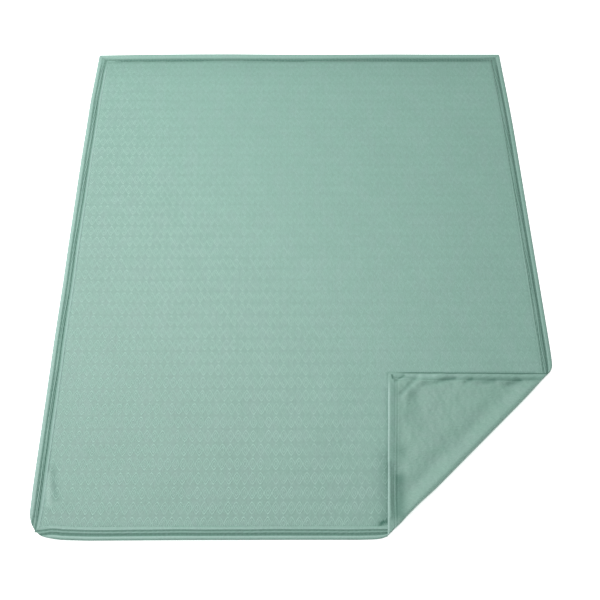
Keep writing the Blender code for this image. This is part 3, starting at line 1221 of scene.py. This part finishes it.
@dataclass(frozen=True)
class Knit:
    """A knitted cloth's finish, whose pattern lies in the blanket's flat plan.

    Attributes:
        name: The material's name.
        colour: The open cloth's colour.
        deep: Its colour in painted shade, where it is drawn in.
        pale: Its colour on the plump edge, where a painted highlight falls.
        roughness: How matt it is.
        wale: Distance between the knit's columns of loops.
        relief: Height of the loops, in millimetres.
        lozenge: Width and length of the figured lozenges, or None for plain cloth.
        figure: Height of the lozenges' outlines, in millimetres.
        grain: Height of the cloth's uneven grain, in millimetres.
        figure_tint: Factors on the colour's parts, on the lozenges' outlines.
        patch_tint: The same in the cloth's paler patches.
        sheen: The fuzz's weight.
        cloudy: Scale of the slow unevenness, in features a metre.
        patchy: The same of the paler patches.
        streaky: The same of the streaks along the loops.
        mottled: The same of the finest mottle.
        worn: The same of the places where the lozenges fade.
    """

    name: str
    colour: Colour
    deep: Colour
    pale: Colour
    roughness: float = 0.85
    wale: float = 0.0014
    relief: float = 0.10
    lozenge: tuple[float, float] | None = None
    figure: float = 1.0
    grain: float = 0.6
    figure_tint: Colour = (1.34, 1.06, 1.12)
    patch_tint: Colour = (1.10, 0.985, 1.05)
    sheen: float = 0.15
    cloudy: float = 7.0
    patchy: float = 9.0
    streaky: float = 75.0
    mottled: float = 160.0
    worn: float = 38.0

    def tinted(self, tint: Colour) -> Colour:
        """The open cloth's colour, part by part, times a tint."""
        return tuple(part * factor for part, factor in zip(self.colour, tint))

    def loops(self, x: Sock, y: Sock) -> Sock:
        """The knit's loops: ribs across, each crossed by its courses.

        Args:
            x: Flat position across, in metres.
            y: Flat position along.

        Returns:
            Height from 0 to 1.
        """
        across = (x * (2.0 * math.pi / self.wale)).sine()
        along = (y * (2.0 * math.pi / (0.8 * self.wale)) + across * 0.9).sine()
        return 0.5 + 0.28 * across + 0.22 * along

    def lozenges(self, graph: Graph, x: Sock, y: Sock) -> Sock:
        """The figured pattern: a lattice of lozenges, each with a smaller one inside.

        Args:
            graph: The material.
            x: Flat position across, in metres.
            y: Flat position along.

        Returns:
            Height from 0 to 1.
        """
        width, length = self.lozenge
        across = abs((x / width).fraction() * 2.0 - 1.0)
        along = abs((y / length).fraction() * 2.0 - 1.0)
        out = (across**1.25 + (along * 1.12) ** 1.25) ** 0.8
        return graph.maths("MAXIMUM", out.peak(0.90, 0.17), 0.75 * out.peak(0.44, 0.15))

    def material(self) -> bpy.types.Material:
        """Builds the material.

        Returns:
            The material.
        """
        graph = Graph(self.name)
        flat, x, y = graph.flat_position()
        cloudy = graph.noise(flat, self.cloudy, detail=4.0)
        drawn = graph.node("ShaderNodeCombineXYZ", None, {"X": x * 2.1, "Y": y})
        streaks = graph.noise(drawn, self.streaky, detail=2.0, roughness=0.6) - 0.5
        patches = graph.noise(drawn, self.patchy, detail=4.0, roughness=0.6).between(0.40, 0.66)
        mottled = graph.noise(flat, self.mottled, detail=3.0, roughness=0.7)
        loops = self.loops(x, y)
        colour = graph.blend_colours(0.55 * patches, self.colour, self.tinted(self.patch_tint))
        # Painted light: the edge attribute blends in the pale colour and a painted highlight, the next one the
        # deep colour as painted shade.
        colour = graph.blend_colours(graph.attribute("edge"), colour, self.pale)
        colour = graph.blend_colours(graph.attribute("close") * 0.95, colour, self.deep)
        tone = 0.90 + 0.10 * cloudy + 0.16 * (mottled - 0.5) + 0.05 * loops + 0.34 * streaks
        tone = tone + 0.16 * graph.attribute("edge")
        height = self.relief * loops + 0.30 * (mottled - 0.5) + self.grain * streaks
        if self.lozenge:
            worn = graph.noise(flat, self.worn, detail=2.0).between(0.34, 0.62)
            # Painted light: towards the lower left, where the key's sheen falls, the lozenges are painted
            # stronger and the cloth darker.
            painted_sheen_side = (-1.0 * x - 0.6 * y).between(-0.15, 0.95)
            figure = self.lozenges(graph, x, y) * (0.25 + 0.75 * worn) * (0.22 + 0.78 * painted_sheen_side)
            colour = graph.blend_colours(0.9 * figure, colour, self.tinted(self.figure_tint))
            tone = tone + 0.66 * figure - 0.02 - 0.09 * painted_sheen_side
            height = height + self.figure * figure
        roughness = self.roughness + 0.10 * (mottled - 0.5) + 0.35 * graph.attribute("close")
        return graph.finish(graph.scaled(colour, tone), roughness, height, self.sheen)


@dataclass(frozen=True)
class Thread:
    """The sewing thread's finish: two plies twisted together.

    Attributes:
        colour: The thread's colour.
        twist: Length of one turn of the plies.
        sheen: The fuzz's weight.
    """

    colour: Colour = (0.20, 0.36, 0.30)
    twist: float = 0.0011
    sheen: float = 0.1

    def material(self) -> bpy.types.Material:
        """Builds the material.

        Returns:
            The material.
        """
        graph = Graph("thread")
        flat, x, y = graph.flat_position()
        plies = ((x + y) * (2.0 * math.pi / self.twist)).sine()
        tone = 0.92 + 0.08 * plies + 0.10 * (graph.noise(flat, 300.0) - 0.5)
        shaded = graph.scaled(self.colour, tone)
        return graph.finish(shaded, 0.55 + 0.05 * plies, 0.12 * plies, self.sheen)


FACE_KNIT = Knit(
    "face_knit", (0.155, 0.306, 0.249), (0.030, 0.120, 0.085), (0.235, 0.375, 0.325), roughness=0.58,
    lozenge=(0.026, 0.051),
)
BACK_KNIT = Knit(
    "back_knit", (0.156, 0.300, 0.241), (0.032, 0.120, 0.088), (0.248, 0.370, 0.335), roughness=0.60,
    wale=0.0010, relief=0.06, grain=1.5,
)
BINDING_KNIT = Knit(
    "binding_knit", (0.158, 0.306, 0.249), (0.026, 0.105, 0.074), (0.234, 0.368, 0.328), roughness=0.60,
    wale=0.0012, grain=0.3,
)
WADDING = Knit("inner_wadding", (0.62, 0.66, 0.62), (0.5, 0.55, 0.5), (0.62, 0.66, 0.62), roughness=0.95)
THREAD = Thread()


# Pieces


@dataclass
class Pieces:
    """What every piece shares, and the steps that finish one.

    Attributes:
        plan: The flat outline.
        hem: The hem's profile.
        ground: The fields' heights.
        fold: The corner's fold.
        materials: The finishes, by the record's slot.
        lying: The body that lies.
        turned: The body of the corner.
        turn_from: Height above the floor at which the bend begins; not used.
        turn_to: How far below the turned corner's top plane it ends.
    """

    plan: Plan
    hem: Hem
    ground: Ground
    fold: Fold
    materials: dict[str, bpy.types.Material]
    lying: str = "blanket"
    turned: str = "folded_corner"
    turn_from: float = 0.0016
    turn_to: float = 0.0022

    def dress(self, piece: bpy.types.Object, slot: str, flat: Array, shade: Array | None = None) -> None:
        """Gives a piece its material and the attributes that the material reads.

        Args:
            piece: The object.
            slot: The record's material slot.
            flat: Each vertex's flat position.
            shade: Above 0 painted shade, as in a row of stitching; below 0 a pale plump edge with a painted
                highlight.
        """
        shade = np.zeros(len(flat)) if shade is None else shade
        note(piece, "flat", flat)
        # Painted light: the first attribute holds painted shade, the second the pale edge's painted highlight.
        note(piece, "close", np.maximum(shade, 0.0))
        note(piece, "edge", np.maximum(-shade, 0.0))
        piece.data.materials.clear()
        piece.data.materials.append(self.materials[slot])

    def corner_size(self, inset: float) -> tuple[float, float]:
        """The corner's size beyond the fold line: its width along the line and its height to the tip.

        Args:
            inset: How far inside the outline it is cut.

        Returns:
            Width and height.
        """
        whole = float(self.fold.beyond(self.plan.half[0], -self.plan.half[1]))
        inner = self.plan.half - inset
        height = float(self.fold.beyond(inner[0], -inner[1]))
        return 2.0 * self.fold.reach * height / whole, height

    def lying_size(self, inset: float) -> tuple[float, float]:
        """The size of the whole blanket."""
        width, length = 2.0 * (self.plan.half - inset)
        return float(width), float(length)

    def face_shade(self, x: Array, y: Array) -> Array:
        """Painted shade on the face cloth: the ground's lines of painted shade, and a band beside the head hem.

        Args:
            x: Plan position across.
            y: Plan position along.

        Returns:
            Values about 0.
        """
        # Painted shade: a narrow band at the binding's edge, and a wide one that fades into the field.
        head = self.plan.inset(Side.HEAD, x, y)
        band = 0.30 * smoothstep(0.062, 0.046, head) + 0.12 * smoothstep(0.22, 0.04, head)
        return summed(self.ground.shades, x, y) + band

    def laid(self, flat: Array) -> Array:
        """Flat positions as the lying part rests."""
        return self.plan.crept(self.fold.pinched(flat))

    def wrap(self, piece: bpy.types.Object) -> None:
        """Bakes a piece's transform into its mesh."""
        (x, y), high = self.fold.middle, 2.0 * self.fold.height - self.turn_to
        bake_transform(piece)


@dataclass(frozen=True)
class Ply:
    """One ply, which is cut apart at the fold line.

    Attributes:
        name: The node of its lying piece.
        slot: Its material slot.
        inset: How far inside the outline it ends.
        cloth: Its thickness.
        under: The piece under each of its pieces: the lying one, and the turned one where it is made so.
        steps: Distance between the points of each.
        stand_back: How far from the fold line they end.
        down: Whether it faces the floor.
    """

    name: str
    slot: str
    inset: float
    cloth: float
    under: tuple[str, ...]
    steps: tuple[float, ...]
    stand_back: float = 0.0
    down: bool = False


FACE = Ply(
    "face_cloth", "face_knit", 0.038, 0.0008, ("inner_layer_lying", "face_cloth_lying"), (0.0092, 0.0092)
)
INNER = Ply(
    "inner_layer", "inner_wadding", 0.043, 0.0008, ("back_cloth_lying", "face_cloth_turned"), (0.016, 0.006),
    stand_back=0.006,
)
BACK = Ply(
    "back_cloth", "back_knit", 0.028, 0.0007, ("studio_floor",), (0.020,), stand_back=0.020, down=True
)


@dataclass
class Plies(Pieces):
    """The face cloth, the inner layer and the back cloth.

    Attributes:
        turned_step: Distance between the points of the back cloth of the turned corner.
        turned_inset: How far inside the outline that ends.
        overlap: How far back under the fold its rows of points begin.
        outward_from: How far past the fold line it has come to lie its own thickness further out.
        dip: How far the face cloth dips under the binding's edge.
        rise: How far the back cloth rises over it.
        slack: How far round a place the inner layer looks for the face cloth's lowest height.
        inner_lift: How far above halfway its upper side lies.
    """

    turned_step: float = 0.0042
    turned_inset: float = 0.026
    overlap: tuple[float, ...] = (0.030, 0.020, 0.010)
    outward_from: float = 0.008
    dip: float = 0.0016
    rise: float = 0.0014
    slack: float = 0.009
    inner_lift: float = 0.0003

    def field_grid(self, inset: float, step: float, height: Surface, down: bool = False) -> Cloth:
        """A grid over the whole flat blanket inside an inset.

        Args:
            inset: How far in from the edges it starts.
            step: Distance between points.
            height: Height from plan positions.
            down: Whether it faces the floor.

        Returns:
            The surface.
        """
        low, high = -self.plan.half + inset, self.plan.half - inset
        counts = np.ceil((high - low) / step).astype(int) + 1
        x, y = np.meshgrid(*(np.linspace(low[i], high[i], counts[i]) for i in (0, 1)), indexing="xy")
        return Cloth.grid(np.stack([x, y, height(x, y)], axis=2), flip=down)

    def nearest_inset(self, x: Array, y: Array) -> Array:
        """Distance to the nearest straight edge."""
        return np.min([self.plan.inset(side, x, y) for side in Side], axis=0)

    def face_height(self, x: Array, y: Array) -> Array:
        """Height of the face cloth, which dips under the binding's edge."""
        under = smoothstep(self.hem.face_leg, self.hem.face_leg - 0.007, self.nearest_inset(x, y))
        return self.ground.face(x, y) - self.dip * under

    def inner_height(self, x: Array, y: Array) -> Array:
        """Height of the inner layer, halfway between the two cloths.

        Args:
            x: Plan position across.
            y: Plan position along.

        Returns:
            Heights.
        """
        steps = [(self.slack * i, self.slack * j) for i in (-1, 0, 1) for j in (-1, 0, 1)]
        lowest = np.min([self.ground.face(x + across, y + along) for across, along in steps], axis=0)
        return 0.5 * (lowest + self.ground.back_level) + self.inner_lift

    def back_height(self, x: Array, y: Array) -> Array:
        """Height of the back cloth, which rises over the binding's back leg."""
        over = smoothstep(self.hem.back_leg + 0.002, self.hem.back_leg - 0.003, self.nearest_inset(x, y))
        return self.ground.back_level + self.rise * over

    def make_ply(self, ply: Ply, height: Surface, shade: Surface | None = None) -> list[bpy.types.Object]:
        """Makes a ply's pieces, which meet near the fold line.

        Args:
            ply: The ply.
            height: Its height from plan positions.
            shade: Painted shade on its lying piece, from plan positions.

        Returns:
            The lying piece, and the turned one where it is made so.
        """
        made = []
        for corner, (under, step) in enumerate(zip(ply.under, ply.steps)):
            name = f"{ply.name}_{'turned' if corner else 'lying'}"
            sheet = self.field_grid(ply.inset, step, height, ply.down).made(name)
            at = ply.stand_back if corner else -ply.stand_back
            cut(sheet, self.fold, keep_corner=bool(corner), at=at)
            flat = positions(sheet)
            self.dress(sheet, ply.slot, flat, shade(flat[:, 0], flat[:, 1]) if shade and not corner else None)
            area = cloth_area(sheet)
            move_to(sheet, self.fold.turned(flat) if corner else self.laid(flat))
            thicken(sheet, ply.cloth)
            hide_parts(("corner_" if corner else "") + ply.name)
            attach(sheet, self.turned if corner else self.lying)
            size = self.corner_size(ply.inset) if corner else self.lying_size(ply.inset)
            made.append(sheet)
        return made

    def make_turned_back(self) -> bpy.types.Object:
        """The back cloth of the corner, from under the fold, round it and out to the corner's tip.

        Returns:
            The piece.
        """
        fold, half = self.fold, self.plan.half - self.turned_inset
        tip = (float(fold.lengthways(half[0], -half[1])), float(fold.beyond(half[0], -half[1])))
        right = (half[0] - fold.middle[0]) / fold.axis[0]
        foot = (-half[1] - fold.middle[1]) / fold.axis[1]
        under = -np.array(self.overlap)
        over = np.linspace(0.0, tip[1] * 0.997, int(tip[1] / self.turned_step))
        t = np.concatenate([under, over])[:, None]
        share = t / tip[1]
        low, high = foot + (tip[0] - foot) * share, right + (tip[0] - right) * share
        columns = np.linspace(0.0, 1.0, int(2.0 * fold.reach / self.turned_step))[None, :]
        s = low + (high - low) * columns
        x, y = fold.plan_point(s, t)
        outward = BACK.cloth * smoothstep(0.0, self.outward_from, t)
        flat = np.stack([x, y, self.back_height(x, y) - outward], axis=2)
        line = flat[len(under)]
        turn = fold.turning(line, 15)
        turned = fold.turned(flat[len(under) :].reshape(-1, 3)).reshape(len(over), -1, 3)
        place = np.concatenate([flat[: len(under)], turn[:-1], turned])
        steps = np.repeat(line[None], len(turn) - 1, axis=0)
        source = np.concatenate([flat[: len(under)], steps, flat[len(under) :]]).reshape(-1, 3)
        piece = Cloth.grid(place).made("back_cloth_turned")
        lies = place.reshape(-1, 3)
        # Painted shade from the fold's lines, on the part that lies turned over.
        above = smoothstep(0.5 * fold.height, 1.5 * fold.height, lies[:, 2])
        shade = np.clip(summed(fold.shades, lies[:, 0], lies[:, 1]), 0.0, 1.0) * above
        self.dress(piece, BACK.slot, source, shade)
        thicken(piece, BACK.cloth)
        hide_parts("corner_back_cloth")
        self.wrap(piece)
        width, height = self.corner_size(self.turned_inset)
        return piece

    def make(self) -> list[bpy.types.Object]:
        """Makes the three plies.

        Returns:
            The pieces.
        """
        made = self.make_ply(FACE, self.face_height, self.face_shade)
        made += self.make_ply(INNER, self.inner_height)
        return made + self.make_ply(BACK, self.back_height) + [self.make_turned_back()]


@dataclass
class Bindings(Pieces):
    """The four binding strips, each folded round its edge.

    Attributes:
        side_step: Distance between points along a side, away from its ends.
        end_step: The same at its ends.
        cloth: Thickness of the binding's cloth.
        counts: Points of its section on the face, round the rim and on the back.
    """

    side_step: float = 0.0050
    end_step: float = 0.0012
    cloth: float = 0.0009
    counts: tuple[int, int, int] = (43, 11, 27)

    def stations(self, side: Side) -> Array:
        """Distances along the strip's inner edge, from mitre to mitre, closer together at the ends.

        Args:
            side: The side.

        Returns:
            The distances.
        """
        low, high = self.hem.face_leg, self.plan.side_length(side) - self.hem.face_leg
        grain, widening = 0.0004, 0.05
        fine = np.arange(low, high, grain)
        spacing = self.end_step + widening * np.minimum(fine - low, high - fine)
        travelled = np.cumsum(grain / np.clip(spacing, None, self.side_step))
        return np.interp(np.linspace(travelled[0], travelled[-1], int(travelled[-1])), travelled, fine)

    def profile(self) -> tuple[Array, Array]:
        """The strip's section, from its edge on the face, round the rim, to its edge on the back.

        Returns:
            Its points' insets, and their places round the rim: 1 on the face and -1 on the back.
        """
        (on_face, on_rim, on_back), rim = self.counts, self.hem.rim
        angles = np.linspace(math.pi / 2, -math.pi / 2, on_rim)
        face = np.linspace(self.hem.face_leg, rim, on_face)[:-1]
        back = np.linspace(rim, self.hem.back_leg, on_back)[1:]
        insets = np.concatenate([face, rim - rim * np.cos(angles), back])
        return insets, np.concatenate([np.ones(len(face)), np.sin(angles), -np.ones(len(back))])

    def strip_points(self, side: Side) -> Array:
        """The strip's surface on the flat blanket.

        Args:
            side: The side.

        Returns:
            Section points, by stations, by 3.
        """
        run, length = self.stations(side), self.plan.side_length(side)
        leg, mitre = self.hem.face_leg, 0.10
        insets, turns = (part[:, None] for part in self.profile())
        shift = np.zeros_like(run)
        for sign, distance, corner in ((-1.0, run, side), (1.0, length - run, side.following)):
            outer = self.plan.radius(corner) * (1.0 - math.sqrt(0.5))
            shift += sign * (leg - outer) * smoothstep(leg + mitre, leg, distance)
        reach = 1.0 - insets / leg
        along = run + shift * reach
        outline = self.plan.outline_inset(side, run + shift)
        inset = outline + (leg - outline) * insets / leg
        start = self.plan.start(side)
        x = start[0] + side.along[0] * along + side.inward[0] * inset
        y = start[1] + side.along[1] * along + side.inward[1] * inset
        return np.stack([x, y, self.hem.height(side, along, inset, turns, self.ground.face(x, y))], axis=2)

    def dressed(self, piece: bpy.types.Object, side: Side, flat: Array, node: str | None) -> None:
        """Gives a strip its finish and hides the imported part of the node that it stands for.

        Args:
            piece: The strip, which has the place round the rim as its attribute "turn".
            side: Its side.
            flat: Flat positions of its vertices.
            node: The node, or None.
        """
        x, y = flat[:, 0], flat[:, 1]
        inset, run = self.plan.inset(side, x, y), self.plan.run(side, x, y)
        turn = np.empty(len(flat), np.float32)
        piece.data.attributes["turn"].data.foreach_get("value", turn)
        shade = self.hem.shade(side, run, inset, turn)
        if node and node.startswith("corner_"):
            # Painted shade of the turned corner, on the strip's under side that faces up there.
            place = self.fold.turned(flat)
            under = smoothstep(0.3, -0.3, turn) * smoothstep(0.008, 0.012, inset)
            shade = shade + under * summed(self.fold.shades, place[:, 0], place[:, 1])
        self.dress(piece, "binding_knit", flat, np.clip(shade, -1.0, 1.0))
        thicken(piece, self.cloth)
        if node:
            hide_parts(node)

    @staticmethod
    def strip(name: str, points: Array, turns: Array, flip: bool = True) -> bpy.types.Object:
        """A strip's mesh, with the place round the rim as its attribute "turn".

        Args:
            name: The object's name.
            points: A grid of points.
            turns: The place round the rim, along the grid's rows or columns.
            flip: Whether its faces look the other way.

        Returns:
            The object.
        """
        piece = Cloth.grid(points, flip=flip).made(name)
        note(piece, "turn", np.broadcast_to(turns, points.shape[:2]).ravel())
        return piece

    def declared(self, piece: bpy.types.Object, side: Side, flat: Array, ply: str) -> None:
        """Works out a strip's flat size: its length, and its width from edge to edge.

        Args:
            piece: The strip, still flat.
            side: Its side.
            flat: Flat positions of its vertices.
            ply: The ply that it is folded round; not used.
        """
        run = self.plan.run(side, flat[:, 0], flat[:, 1])
        width = self.hem.face_leg + self.hem.back_leg + (math.pi - 2.0) * self.hem.rim
        length = float(np.ptp(run))
        area = min(cloth_area(piece), width * length)

    def make(self, side: Side) -> list[bpy.types.Object]:
        """Makes one side's strip: whole, or lying part, turn and turned part where it crosses the fold.

        Args:
            side: The side.

        Returns:
            The pieces.
        """
        points, turns = self.strip_points(side), self.profile()[1][:, None]
        crosses = side in CROSSING
        lying = self.strip(f"strip_{side.word}", points, turns)
        if crosses:
            cut(lying, self.fold, keep_corner=False)
        flat = positions(lying)
        self.declared(lying, side, flat, "back_cloth_lying")
        self.dressed(lying, side, flat, f"binding_{side.word}")
        move_to(lying, self.laid(flat))
        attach(lying, self.lying)
        made = [lying]
        if crosses:
            turned = self.strip(f"strip_{side.word}_turned", points, turns)
            cut(turned, self.fold, keep_corner=True)
            flat = positions(turned)
            self.declared(turned, side, flat, "face_cloth_turned")
            self.dressed(turned, side, flat, f"corner_binding_{side.word}")
            move_to(turned, self.fold.turned(flat))
            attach(turned, self.turned)
            made += [turned, self.make_turn(side)]
        return made

    def make_turn(self, side: Side) -> bpy.types.Object:
        """The part of a strip that goes round the fold.

        Args:
            side: The side.

        Returns:
            The piece.
        """
        fold, start = self.fold, self.plan.start(side)
        insets, turns = self.profile()
        straight = start + side.inward * insets[:, None]
        past = fold.beyond(straight[:, 0], straight[:, 1])
        slope = float(side.along @ fold.outward)
        run = -past / slope
        x = straight[:, 0] + side.along[0] * run
        y = straight[:, 1] + side.along[1] * run
        line = np.stack([x, y, self.hem.height(side, run, insets, turns, self.ground.face(x, y))], axis=1)
        turn = fold.turning(line, 13)
        pinched = self.laid(line)
        fade = np.linspace(1.0, 0.0, len(turn))[:, None, None] ** 2
        turn = turn + fade * (pinched - line)[None]
        piece = self.strip(f"strip_{side.word}_turn", turn, turns[None, :], flip=side is Side.RIGHT)
        flat = np.repeat(line[None], len(turn), axis=0).reshape(-1, 3)
        self.dressed(piece, side, flat, None)
        self.wrap(piece)
        return piece


@dataclass
class Stitching(Pieces):
    """The rows of stitches, each a separate short length of thread.

    Attributes:
        pitch: Distance from one stitch to the next.
        length: Length of a stitch.
        radius: The thread's radius.
        rings: Where along a stitch its rings of points are, from 0 to 1.
        girths: The rings' radii, as shares of the thread's.
        around: Points in a ring.
        arch: How far a stitch's ends dip, for a unit of distance from its middle squared.
        clear: How far from a mitre a row ends.
    """

    pitch: float = 0.0042
    length: float = 0.0034
    radius: float = 0.00042
    rings: tuple[float, ...] = (0.0, 0.12, 0.5, 0.88, 1.0)
    girths: tuple[float, ...] = (0.15, 0.8, 1.0, 0.8, 0.15)
    around: int = 6
    arch: float = 0.0012
    clear: float = 0.003

    def stitches(self, side: Side, inset: float, on_face: bool) -> Array:
        """Flat points of a row's stitches, each a thin closed spindle along the row.

        Args:
            side: The side.
            inset: The row's distance from the edge.
            on_face: Whether the row is on the face.

        Returns:
            Stitches, by rings, by points round, by 3.
        """
        length = self.plan.side_length(side)
        radius = self.plan.round_corner
        short = max(radius - inset + 0.002, 0.0)
        plain = inset + self.clear
        rounded = max(plain, radius - math.sqrt(radius**2 - short**2))
        low = rounded if side is Side.FOOT else plain
        high = length - (rounded if side is Side.LEFT else plain)
        starts = np.arange(low, high - self.length, self.pitch)[:, None, None]
        share = np.array(self.rings)[None, :, None]
        thick = np.array(self.girths)[None, :, None] * self.radius
        angle = np.arange(self.around)[None, None, :] * (2.0 * math.pi / self.around)
        run = np.repeat(starts + self.length * share, self.around, axis=2)
        off = inset * self.hem.spread(side, run) + thick * np.cos(angle)
        start = self.plan.start(side)
        x = start[0] + side.along[0] * run + side.inward[0] * off
        y = start[1] + side.along[1] * run + side.inward[1] * off
        arch = (share - 0.5) ** 2 * self.arch
        if on_face:
            level = self.hem.face_height(side, run, off, self.ground.face(x, y)) + 0.0002 - arch
        else:
            level = self.hem.back_height(side, run, off) - 0.0001 + arch
        return np.stack([x, y, level + thick * np.sin(angle)], axis=3)

    def make_row(self, side: Side, kind: str, inset: float, on_face: bool) -> list[bpy.types.Object]:
        """Makes one row, in two pieces where it crosses the fold.

        Args:
            side: The side.
            kind: The row's name.
            inset: Its distance from the edge.
            on_face: Whether it is on the face.

        Returns:
            The pieces.
        """
        spindles = self.stitches(side, inset, on_face)
        centre = spindles.mean(axis=(1, 2))
        corner = self.fold.beyond(centre[:, 0], centre[:, 1]) > 0.0
        if side not in CROSSING:
            corner[:] = False
        made = []
        for turned in (False, True):
            chosen = spindles[corner == turned]
            if not len(chosen):
                continue
            node = ("corner_" if turned else "") + f"{kind}_{side.word}"
            flat = chosen.reshape(-1, 3)
            piece = self.joined(chosen, node + "_stitches")
            self.dress(piece, "thread", flat)
            move_to(piece, self.fold.turned(flat) if turned else self.laid(flat))
            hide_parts(node)
            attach(piece, self.turned if turned else self.lying)
            made.append(piece)
        return made

    @staticmethod
    def joined(spindles: Array, name: str) -> bpy.types.Object:
        """One object from many spindles of equal shape, each closed at its two ends.

        Args:
            spindles: Stitches, by rings, by points round, by 3.
            name: The object's name.

        Returns:
            The object.
        """
        count, rings, around = spindles.shape[:3]
        one = Cloth.grid(spindles[0], closed=True).quads
        near = np.array([[3, 2, 1, 0], [5, 4, 3, 0]])
        quads = np.concatenate([one, near, near + (rings - 1) * around])
        offsets = (np.arange(count) * rings * around)[:, None, None]
        cloth = Cloth(spindles.reshape(-1, 3), (quads[None] + offsets).reshape(-1, 4))
        return cloth.made(name)

    def make(self) -> list[bpy.types.Object]:
        """Makes every row.

        Returns:
            The pieces.
        """
        made = []
        for side in Side:
            outer, inner = self.hem.outer_row[side], self.hem.inner_row[side]
            made += self.make_row(side, "needle_outer", outer, True)
            made += self.make_row(side, "needle_inner", inner, True)
            made += self.make_row(side, "bobbin_inner", inner, False)
        return made


# The studio


@dataclass(frozen=True)
class Lamp:
    """A square soft light.

    Attributes:
        name: Its name.
        place: Where it is.
        size: Its width.
        power: Its power, in watts.
    """

    name: str
    place: tuple[float, float, float]
    size: float
    power: float


@dataclass
class Studio:
    """The floor, the lights and the camera.

    Attributes:
        eye: Where the camera is.
        aim: What it looks at.
        roll: Its turn about its own axis.
        lens: Its focal length, in millimetres.
        sensor: Its sensor's width, in millimetres.
        floor_half: Half the floor's width.
        floor_grey: Its colour, the same for red, green and blue.
        floor_glow: How much light it gives of itself.
        daylight: Strength of the light from all round.
        lamps: The lights.
        lit: What they face.
    """

    eye: tuple[float, float, float] = (-0.0413, -2.0354, 2.9772)
    aim: tuple[float, float, float] = (-0.0060, -0.1890, 0.0)
    roll: float = math.radians(0.812)
    lens: float = 56.206
    sensor: float = 36.0
    floor_half: float = 12.0
    floor_grey: float = 0.93
    floor_glow: float = 0.60
    daylight: float = 0.45
    lamps: tuple[Lamp, ...] = (
        Lamp("key", (-2.05, 1.2, 3.7), 2.6, 136.0), Lamp("top", (-0.75, 0.45, 3.9), 2.4, 76.0)
    )
    lit: tuple[float, float, float] = (-0.2, -0.3, 0.0)

    @staticmethod
    def placed(name: str, data: bpy.types.ID) -> bpy.types.Object:
        """A new object in the scene.

        Args:
            name: Its name.
            data: Its mesh, light or camera.

        Returns:
            The object.
        """
        made = bpy.data.objects.new(name, data)
        bpy.context.scene.collection.objects.link(made)
        return made

    def make_floor(self) -> None:
        """Makes a wide pale floor."""
        mesh = bpy.data.meshes.new("studio_floor")
        signs = ((-1, -1), (1, -1), (1, 1), (-1, 1))
        corners = [(self.floor_half * across, self.floor_half * along, 0) for across, along in signs]
        mesh.from_pydata(corners, [], [(0, 1, 2, 3)])
        floor = self.placed("studio_floor", mesh)
        graph = Graph("studio_floor")
        settings = {
            "Base Color": (self.floor_grey, self.floor_grey, self.floor_grey, 1.0),
            "Roughness": 0.9,
            "Specular IOR Level": 0.0,
            "Emission Color": (1.0, 1.0, 1.0, 1.0),
            "Emission Strength": self.floor_glow,
        }
        for name, value in settings.items():
            graph.feed(graph.shader.inputs[name], value)
        mesh.materials.append(graph.material)
        floor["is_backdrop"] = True

    def make_light(self, lamp: Lamp) -> None:
        """Makes one light, turned to face the blanket.

        Args:
            lamp: What it is like.
        """
        data = bpy.data.lights.new(lamp.name, "AREA")
        data.shape = "SQUARE"
        data.size = lamp.size
        data.energy = lamp.power
        light = self.placed(lamp.name, data)
        light.location = lamp.place
        light.rotation_euler = self.facing(lamp.place, self.lit).to_euler()

    @staticmethod
    def facing(place: Sequence[float], aim: Sequence[float]) -> Quaternion:
        """The turn of something at a place that looks at its aim."""
        return (Vector(aim) - Vector(place)).to_track_quat("-Z", "Y")

    def make_camera(self) -> None:
        """Makes the camera."""
        data = bpy.data.cameras.new("camera")
        data.lens = self.lens
        data.sensor_width = self.sensor
        camera = self.placed("camera", data)
        turn = self.facing(self.eye, self.aim).to_matrix().to_4x4()
        camera.matrix_world = Matrix.Translation(self.eye) @ turn @ Matrix.Rotation(self.roll, 4, "Z")
        bpy.context.scene.camera = camera

    def make(self) -> None:
        """Makes all of it."""
        self.make_camera()
        self.make_floor()
        for lamp in self.lamps:
            self.make_light(lamp)
        world = bpy.data.worlds.new("studio")
        world.use_nodes = True
        background = world.node_tree.nodes["Background"]
        background.inputs["Color"].default_value = (1.0, 1.0, 1.0, 1.0)
        background.inputs["Strength"].default_value = self.daylight
        scene = bpy.context.scene
        scene.world = world
        scene.view_settings.view_transform = "Standard"
        scene.view_settings.look = "None"


def main() -> None:
    """Builds the blanket and its studio."""
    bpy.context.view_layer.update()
    plan = Plan()
    finishes = (FACE_KNIT, BACK_KNIT, BINDING_KNIT, WADDING)
    materials = {finish.name: finish.material() for finish in finishes}
    materials["thread"] = THREAD.material()
    shared = (plan, Hem(plan), Ground(), Fold.from_joint(frame["joints"][0]), materials)
    pieces = Plies(*shared).make()
    bindings = Bindings(*shared)
    pieces += [piece for side in Side for piece in bindings.make(side)]
    pieces += Stitching(*shared).make()
    Studio().make()
    for piece in pieces:
        LOG.info("%s: %d faces", piece.name, len(piece.data.polygons))


if __name__ == "__main__":
    main()
